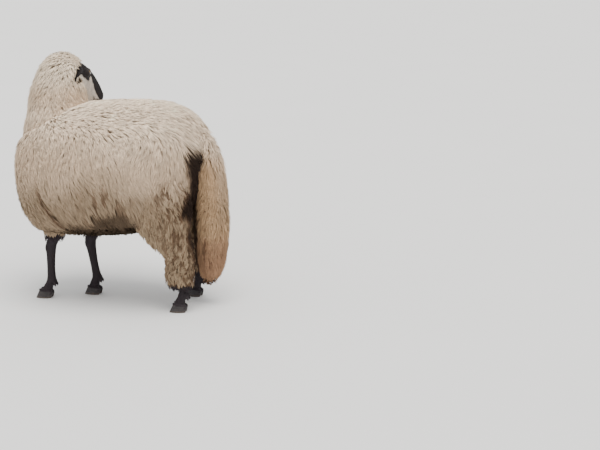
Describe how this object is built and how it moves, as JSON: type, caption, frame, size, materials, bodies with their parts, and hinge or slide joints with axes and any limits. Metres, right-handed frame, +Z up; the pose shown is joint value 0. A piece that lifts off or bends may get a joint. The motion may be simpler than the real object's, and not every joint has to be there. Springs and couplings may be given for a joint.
{
  "type": "long-tailed wool sheep",
  "caption": "Standing life-size model of a long-tailed wool sheep with a cream fleece, black legs and ears and a stained tail, looking back over its right shoulder.",
  "frame": {"origin": "on the ground, below the middle of the whole model's box", "axes": "+Z up, +X from the tail to the chest, +Y to the sheep's left"},
  "size_m": [0.7628, 0.5332, 0.8551],
  "materials": {
    "fleece": "matte",
    "leg_wool": "matte",
    "stained_wool": "matte",
    "face_hair": "matte",
    "black_skin": "matte",
    "horn": "satin",
    "eye": "gloss"
  },
  "bodies": {
    "root": {"torso": "fleece", "neck": "fleece", "head": "face_hair", "ear_left": "black_skin", "ear_right": "black_skin", "eye_left": "eye", "eye_right": "eye", "tail": "stained_wool", "leg_front_left": "black_skin", "leg_front_right": "black_skin", "leg_hind_left": "leg_wool", "leg_hind_right": "leg_wool", "claw_front_left_inner": "horn", "claw_front_left_outer": "horn", "claw_front_right_inner": "horn", "claw_front_right_outer": "horn", "claw_hind_left_inner": "horn", "claw_hind_left_outer": "horn", "claw_hind_right_inner": "horn", "claw_hind_right_outer": "horn"}
  },
  "joints": []
}
